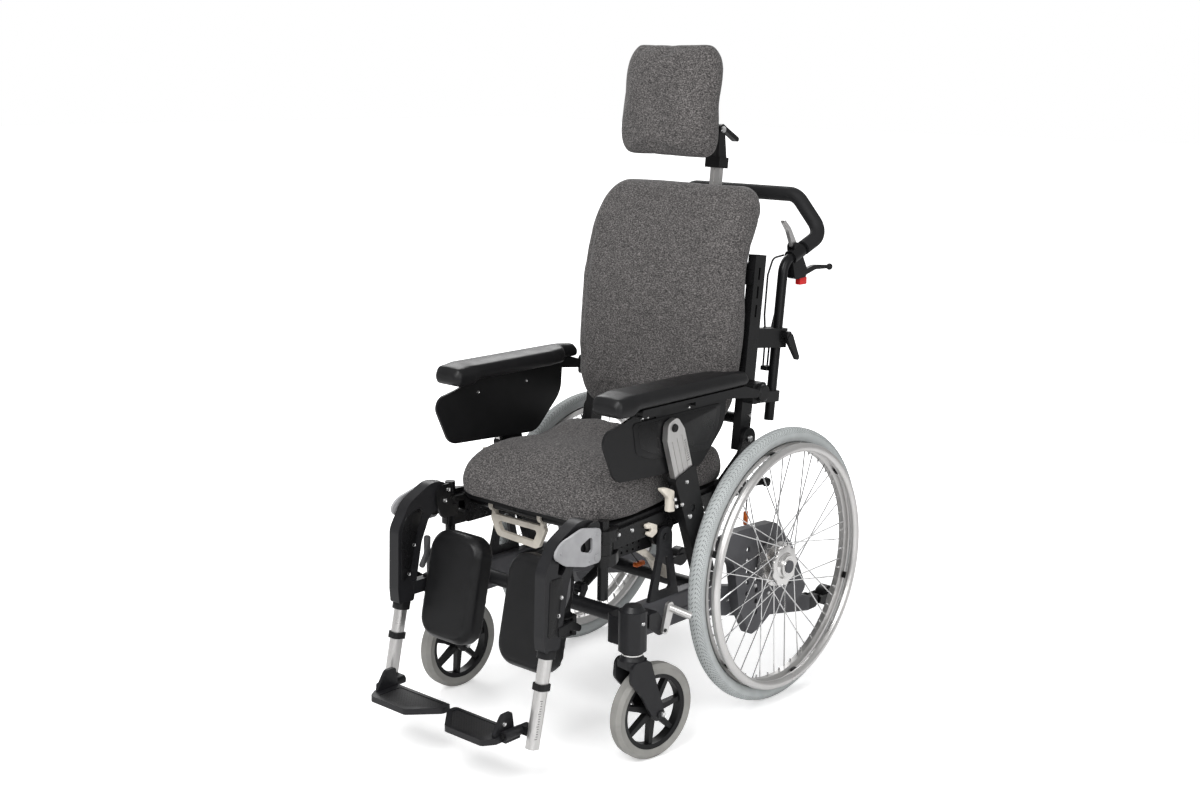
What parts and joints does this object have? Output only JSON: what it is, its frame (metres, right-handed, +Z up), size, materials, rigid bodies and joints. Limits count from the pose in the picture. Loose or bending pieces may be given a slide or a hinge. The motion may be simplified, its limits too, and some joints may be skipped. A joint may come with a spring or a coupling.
{
  "type": "tilt in space wheelchair",
  "caption": "Manual tilt-in-space wheelchair with reclining back, headrest, padded armrests, elevating leg rests and large rear wheels.",
  "frame": {"origin": "on the floor, at the centre of the whole chair's bounding box seen from above", "axes": "+Z up; the chair faces -Y; +X is the user's left"},
  "size_m": [0.6438, 1.105, 1.4193],
  "materials": {
    "arm_black": "moulded matt",
    "back_black": "satin black lacquer",
    "black_plastic": "moulded matt",
    "bright_alloy": "anodised",
    "cable_black": "smooth",
    "caster_black": "moulded matt",
    "caster_tyre": "matt grey",
    "cushion_fabric": "melange weave",
    "dark_steel": "satin black",
    "foam_grip": "foam",
    "foot_black": "moulded matt",
    "fork_black": "satin black",
    "frame_grey": "satin dark grey lacquer",
    "handle_grey": "moulded silver-grey",
    "leg_tube_alloy": "anodised",
    "off_white": "moulded",
    "pad_black": "soft moulded skin",
    "plate_grey": "matt dark grey casting",
    "pushrim_alloy": "satin anodised",
    "rim_alloy": "anodised",
    "rod_chrome": "polished",
    "seat_black": "satin black lacquer",
    "spoke_steel": "drawn wire",
    "spring_black": "gloss black",
    "tyre_grey": "matt pale grey"
  },
  "bodies": {
    "root": {"base_frame": "frame_grey", "axle_plates": "plate_grey"},
    "tilt_cylinder": {"tilt_cylinder": "spring_black"},
    "tilt_rod": {"tilt_rod": "rod_chrome"},
    "seat": {"seat_frame": "seat_black", "seat_plate": "black_plastic", "seat_cushion": "cushion_fabric"},
    "loop_handle": {"loop_handle": "off_white"},
    "recline_cylinder": {"recline_cylinder": "spring_black"},
    "recline_rod": {"recline_rod": "rod_chrome"},
    "back": {"back_frame": "back_black", "back_cushion": "cushion_fabric"},
    "push_bow": {"push_bar": "dark_steel", "push_bar_grip": "foam_grip", "brake_cables": "cable_black"},
    "headrest_mast": {"headrest_post": "bright_alloy"},
    "headrest": {"headrest_bracket": "back_black", "headrest_cushion": "cushion_fabric"},
    "rear_wheel_L": {"rear_tyre_L": "tyre_grey", "rear_wheel_L": "rim_alloy", "rear_spokes_L": "spoke_steel", "pushrim_L": "pushrim_alloy"},
    "caster_L": {"caster_fork_L": "fork_black"},
    "caster_wheel_L": {"caster_wheel_L": "caster_black", "caster_tyre_L": "caster_tyre"},
    "anti_tip_L": {"anti_tip_L": "black_plastic"},
    "parking_brake_L": {"parking_brake_L": "bright_alloy"},
    "brake_lever_L": {"brake_lever_L": "black_plastic"},
    "release_trigger_L": {"release_trigger_L": "bright_alloy"},
    "arm_sleeve_L": {"arm_sleeve_L": "arm_black"},
    "arm_strut_L": {"arm_strut_L": "bright_alloy"},
    "armrest_L": {"arm_frame_L": "arm_black", "arm_pad_L": "pad_black"},
    "legrest_L": {"legrest_post_L": "dark_steel"},
    "legrest_hanger_L": {"legrest_hanger_L": "arm_black"},
    "legrest_handle_L": {"legrest_handle_L": "handle_grey"},
    "leg_tube_L": {"leg_tube_L": "leg_tube_alloy"},
    "footplate_L": {"footplate_L": "foot_black"},
    "calf_pad_L": {"calf_pad_L": "pad_black"},
    "rear_wheel_R": {"rear_tyre_R": "tyre_grey", "rear_wheel_R": "rim_alloy", "rear_spokes_R": "spoke_steel", "pushrim_R": "pushrim_alloy"},
    "caster_R": {"caster_fork_R": "fork_black"},
    "caster_wheel_R": {"caster_wheel_R": "caster_black", "caster_tyre_R": "caster_tyre"},
    "anti_tip_R": {"anti_tip_R": "black_plastic"},
    "parking_brake_R": {"parking_brake_R": "bright_alloy"},
    "brake_lever_R": {"brake_lever_R": "black_plastic"},
    "release_trigger_R": {"release_trigger_R": "bright_alloy"},
    "arm_sleeve_R": {"arm_sleeve_R": "arm_black"},
    "arm_strut_R": {"arm_strut_R": "bright_alloy"},
    "armrest_R": {"arm_frame_R": "arm_black", "arm_pad_R": "pad_black"},
    "legrest_R": {"legrest_post_R": "dark_steel"},
    "legrest_hanger_R": {"legrest_hanger_R": "arm_black"},
    "legrest_handle_R": {"legrest_handle_R": "handle_grey"},
    "leg_tube_R": {"leg_tube_R": "leg_tube_alloy"},
    "footplate_R": {"footplate_R": "foot_black"},
    "calf_pad_R": {"calf_pad_R": "pad_black"}
  },
  "joints": [
    {"name": "seat_tilt", "type": "hinge", "parent": "root", "child": "seat", "pos_m": [0, -0.0955, 0.43], "axis": [-1, 0, 0], "range_deg": [-1.5, 23.5]},
    {"name": "tilt_cylinder_pivot", "type": "hinge", "parent": "root", "child": "tilt_cylinder", "pos_m": [0.06, -0.1605, 0.298], "axis": [-1, 0, 0], "range_deg": [-4, 20]},
    {"name": "tilt_rod_slide", "type": "slide", "parent": "tilt_cylinder", "child": "tilt_rod", "axis": [0, 0.8919, 0.4523], "range_m": [-0.06, 0.01]},
    {"name": "loop_handle_swing", "type": "hinge", "parent": "seat", "child": "loop_handle", "pos_m": [-0.066, -0.21717, 0.45362], "axis": [-1, 0, 0], "range_deg": [0, 20]},
    {"name": "back_recline", "type": "hinge", "parent": "seat", "child": "back", "pos_m": [0, 0.1895, 0.588], "axis": [-1, 0, 0], "range_deg": [0, 30]},
    {"name": "recline_cylinder_pivot", "type": "hinge", "parent": "seat", "child": "recline_cylinder", "pos_m": [-0.06, -0.0955, 0.418], "axis": [-1, 0, 0], "range_deg": [-10, 10]},
    {"name": "recline_rod_slide", "type": "slide", "parent": "recline_cylinder", "child": "recline_rod", "axis": [0, 0.9966, 0.0823], "range_m": [-0.1, 0.01]},
    {"name": "push_bow_height", "type": "slide", "parent": "back", "child": "push_bow", "axis": [0, 0.1045, 0.9945], "range_m": [-0.04, 0.04]},
    {"name": "headrest_height", "type": "slide", "parent": "back", "child": "headrest_mast", "axis": [0, 0.1045, 0.9945], "range_m": [-0.02, 0.1]},
    {"name": "headrest_angle", "type": "hinge", "parent": "headrest_mast", "child": "headrest", "pos_m": [0, 0.35009, 1.23576], "axis": [-1, 0, 0], "range_deg": [-8, 25]},
    {"name": "rear_wheel_spin_L", "type": "hinge", "parent": "root", "child": "rear_wheel_L", "pos_m": [0.2815, 0.2395, 0.305], "axis": [1, 0, 0], "continuous": true},
    {"name": "caster_swivel_L", "type": "hinge", "parent": "root", "child": "caster_L", "pos_m": [0.278, -0.2495, 0.28], "axis": [0, 0, 1], "continuous": true},
    {"name": "caster_roll_L", "type": "hinge", "parent": "caster_L", "child": "caster_wheel_L", "pos_m": [0.28685, -0.19826, 0.1], "axis": [0.9854, -0.1702, 0], "continuous": true},
    {"name": "anti_tip_fold_L", "type": "hinge", "parent": "root", "child": "anti_tip_L", "pos_m": [0.221, 0.4665, 0.148], "axis": [-1, 0, 0], "range_deg": [0, 60]},
    {"name": "parking_brake_L", "type": "hinge", "parent": "root", "child": "parking_brake_L", "pos_m": [0.268, -0.1405, 0.25], "axis": [-1, 0, 0], "range_deg": [0, 18]},
    {"name": "brake_lever_L", "type": "hinge", "parent": "push_bow", "child": "brake_lever_L", "pos_m": [0.204, 0.40217, 0.92763], "axis": [1, 0, 0], "range_deg": [0, 15], "stiffness_Nm_per_rad": 2},
    {"name": "release_trigger_L", "type": "hinge", "parent": "push_bow", "child": "release_trigger_L", "pos_m": [0.204, 0.36855, 0.99049], "axis": [-1, 0, 0], "range_deg": [0, 15], "stiffness_Nm_per_rad": 2},
    {"name": "arm_sleeve_pivot_L", "type": "hinge", "parent": "seat", "child": "arm_sleeve_L", "pos_m": [0.24925, -0.0425, 0.486], "axis": [-1, 0, 0], "range_deg": [-1, 20]},
    {"name": "arm_height_L", "type": "slide", "parent": "arm_sleeve_L", "child": "arm_strut_L", "axis": [0, -0.321, 0.9471], "range_m": [-0.015, 0.03]},
    {"name": "armrest_pivot_L", "type": "hinge", "parent": "arm_strut_L", "child": "armrest_L", "pos_m": [0.24925, -0.1025, 0.663], "axis": [-1, 0, 0], "range_deg": [-14, 1]},
    {"name": "legrest_swing_L", "type": "hinge", "parent": "seat", "child": "legrest_L", "pos_m": [0.218, -0.2725, 0.44], "axis": [0, 0, 1], "range_deg": [0, 42]},
    {"name": "knee_elevation_L", "type": "hinge", "parent": "legrest_L", "child": "legrest_hanger_L", "pos_m": [0.208, -0.3165, 0.481], "axis": [-1, 0, 0], "range_deg": [0, 60]},
    {"name": "legrest_release_L", "type": "hinge", "parent": "legrest_L", "child": "legrest_handle_L", "pos_m": [0.2281, -0.3105, 0.436], "axis": [-1, 0, 0], "range_deg": [0, 12], "stiffness_Nm_per_rad": 0.8},
    {"name": "leg_length_L", "type": "slide", "parent": "legrest_hanger_L", "child": "leg_tube_L", "axis": [0, -0.2079, -0.9781], "range_m": [-0.035, 0.04]},
    {"name": "footplate_fold_L", "type": "hinge", "parent": "leg_tube_L", "child": "footplate_L", "pos_m": [0.18, -0.4925, 0.112], "axis": [0, 1, 0], "range_deg": [0, 85]},
    {"name": "calf_pad_swing_L", "type": "hinge", "parent": "legrest_hanger_L", "child": "calf_pad_L", "pos_m": [0.199, -0.3605, 0.298], "axis": [0, 0, -1], "range_deg": [0, 30]},
    {"name": "rear_wheel_spin_R", "type": "hinge", "parent": "root", "child": "rear_wheel_R", "pos_m": [-0.2815, 0.2395, 0.305], "axis": [1, 0, 0], "continuous": true},
    {"name": "caster_swivel_R", "type": "hinge", "parent": "root", "child": "caster_R", "pos_m": [-0.278, -0.2495, 0.28], "axis": [0, 0, 1], "continuous": true},
    {"name": "caster_roll_R", "type": "hinge", "parent": "caster_R", "child": "caster_wheel_R", "pos_m": [-0.27469, -0.19761, 0.1], "axis": [0.998, -0.0637, 0], "continuous": true},
    {"name": "anti_tip_fold_R", "type": "hinge", "parent": "root", "child": "anti_tip_R", "pos_m": [-0.221, 0.4665, 0.148], "axis": [-1, 0, 0], "range_deg": [0, 60]},
    {"name": "parking_brake_R", "type": "hinge", "parent": "root", "child": "parking_brake_R", "pos_m": [-0.268, -0.1405, 0.25], "axis": [-1, 0, 0], "range_deg": [0, 18]},
    {"name": "brake_lever_R", "type": "hinge", "parent": "push_bow", "child": "brake_lever_R", "pos_m": [-0.204, 0.40217, 0.92763], "axis": [1, 0, 0], "range_deg": [0, 15], "stiffness_Nm_per_rad": 2},
    {"name": "release_trigger_R", "type": "hinge", "parent": "push_bow", "child": "release_trigger_R", "pos_m": [-0.204, 0.36855, 0.99049], "axis": [-1, 0, 0], "range_deg": [0, 15], "stiffness_Nm_per_rad": 2},
    {"name": "arm_sleeve_pivot_R", "type": "hinge", "parent": "seat", "child": "arm_sleeve_R", "pos_m": [-0.24925, -0.0425, 0.486], "axis": [-1, 0, 0], "range_deg": [-1, 20]},
    {"name": "arm_height_R", "type": "slide", "parent": "arm_sleeve_R", "child": "arm_strut_R", "axis": [0, -0.321, 0.9471], "range_m": [-0.015, 0.03]},
    {"name": "armrest_pivot_R", "type": "hinge", "parent": "arm_strut_R", "child": "armrest_R", "pos_m": [-0.24925, -0.1025, 0.663], "axis": [-1, 0, 0], "range_deg": [-14, 1]},
    {"name": "legrest_swing_R", "type": "hinge", "parent": "seat", "child": "legrest_R", "pos_m": [-0.218, -0.2725, 0.44], "axis": [0, 0, -1], "range_deg": [0, 42]},
    {"name": "knee_elevation_R", "type": "hinge", "parent": "legrest_R", "child": "legrest_hanger_R", "pos_m": [-0.208, -0.3165, 0.481], "axis": [-1, 0, 0], "range_deg": [0, 60]},
    {"name": "legrest_release_R", "type": "hinge", "parent": "legrest_R", "child": "legrest_handle_R", "pos_m": [-0.2281, -0.3105, 0.436], "axis": [-1, 0, 0], "range_deg": [0, 12], "stiffness_Nm_per_rad": 0.8},
    {"name": "leg_length_R", "type": "slide", "parent": "legrest_hanger_R", "child": "leg_tube_R", "axis": [0, -0.2079, -0.9781], "range_m": [-0.035, 0.04]},
    {"name": "footplate_fold_R", "type": "hinge", "parent": "leg_tube_R", "child": "footplate_R", "pos_m": [-0.18, -0.4925, 0.112], "axis": [0, -1, 0], "range_deg": [0, 85]},
    {"name": "calf_pad_swing_R", "type": "hinge", "parent": "legrest_hanger_R", "child": "calf_pad_R", "pos_m": [-0.199, -0.3605, 0.298], "axis": [0, 0, 1], "range_deg": [0, 30]}
  ],
  "couplings": [
    {"joint": "tilt_cylinder_pivot", "follows": "seat_tilt", "ratio": 0.64006},
    {"joint": "tilt_rod_slide", "follows": "seat_tilt", "m_per_rad": -0.10024},
    {"joint": "recline_cylinder_pivot", "follows": "back_recline", "ratio": -0.04821},
    {"joint": "recline_rod_slide", "follows": "back_recline", "m_per_rad": -0.14465},
    {"joint": "arm_sleeve_pivot_L", "follows": "back_recline", "ratio": 0.51524},
    {"joint": "armrest_pivot_L", "follows": "back_recline", "ratio": -0.34334},
    {"joint": "arm_sleeve_pivot_R", "follows": "back_recline", "ratio": 0.51524},
    {"joint": "armrest_pivot_R", "follows": "back_recline", "ratio": -0.34334}
  ]
}
